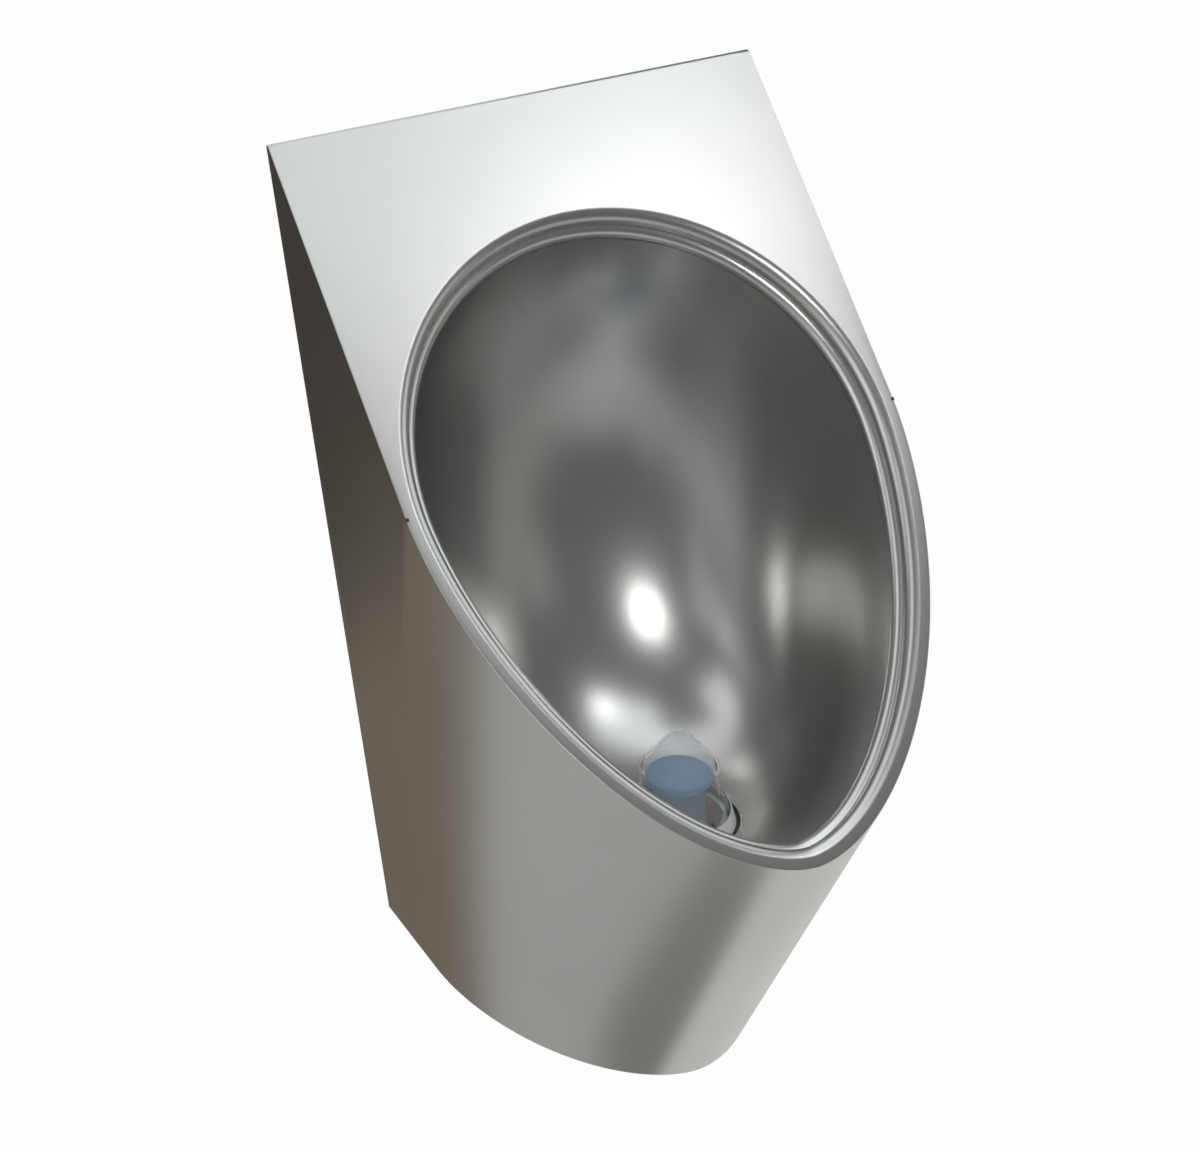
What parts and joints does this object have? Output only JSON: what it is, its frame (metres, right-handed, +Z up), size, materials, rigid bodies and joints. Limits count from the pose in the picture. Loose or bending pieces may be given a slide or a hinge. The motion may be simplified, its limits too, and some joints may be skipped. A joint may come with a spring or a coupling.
{
  "type": "waterless urinal",
  "caption": "Wall-hung steel urinal with a slanted front, rounded tapering skirt, deep oval bowl and a lift-out trap under a clear cap.",
  "frame": {"origin": "centre of the drain outlet, on the outlet pipe's axis in the plane of the wall", "axes": "+X to the right of a person facing the wall, +Y into the wall along the outlet pipe, +Z up"},
  "size_m": [0.35, 0.4567, 0.619],
  "materials": {
    "panel_steel": "fine bead-blasted satin",
    "skirt_steel": "fine satin",
    "bowl_steel": "fine satin",
    "rail_steel": "mill finish",
    "screw_steel": "bright",
    "damping_mat": "matt bitumen mat",
    "black_plastic": "moulded",
    "grey_plastic": "extruded pipe",
    "white_plastic": "moulded, semi-gloss",
    "seal_rubber": "moulded",
    "blue_clear_plastic": "tinted clear plastic",
    "blue_block": "pressed cleaning block",
    "red_plastic": "moulded",
    "clear_plastic": "polished clear plastic"
  },
  "bodies": {
    "housing": {"front_panel": "panel_steel", "side_skirt": "skirt_steel", "bowl": "bowl_steel", "sound_pads": "damping_mat", "hanger_rail": "rail_steel", "wall_bracket": "rail_steel", "lower_rail": "rail_steel", "cover_tabs": "rail_steel", "bottom_cover": "skirt_steel", "cover_screws": "screw_steel", "trap_socket": "black_plastic", "socket_gasket": "seal_rubber", "slip_ring": "white_plastic", "socket_nut": "black_plastic", "outlet_elbow": "black_plastic", "union_seal": "seal_rubber", "union_nut": "black_plastic", "outlet_pipe": "grey_plastic", "pipe_seal": "seal_rubber"},
    "trap": {"trap_cup": "white_plastic", "cup_seals": "seal_rubber", "riser_tube": "white_plastic", "trap_bell": "blue_clear_plastic", "cleaning_block": "blue_block"},
    "float": {"float_ring": "red_plastic"},
    "cap": {"clear_cap": "clear_plastic"}
  },
  "joints": [
    {"name": "trap_lift", "type": "slide", "parent": "housing", "child": "trap", "axis": [0, 0, 1], "range_m": [0, 0.12]},
    {"name": "float_rise", "type": "slide", "parent": "trap", "child": "float", "axis": [0, 0, 1], "range_m": [0, 0.008]},
    {"name": "cap_lift", "type": "slide", "parent": "trap", "child": "cap", "axis": [0, 0, 1], "range_m": [0, 0.06]}
  ]
}
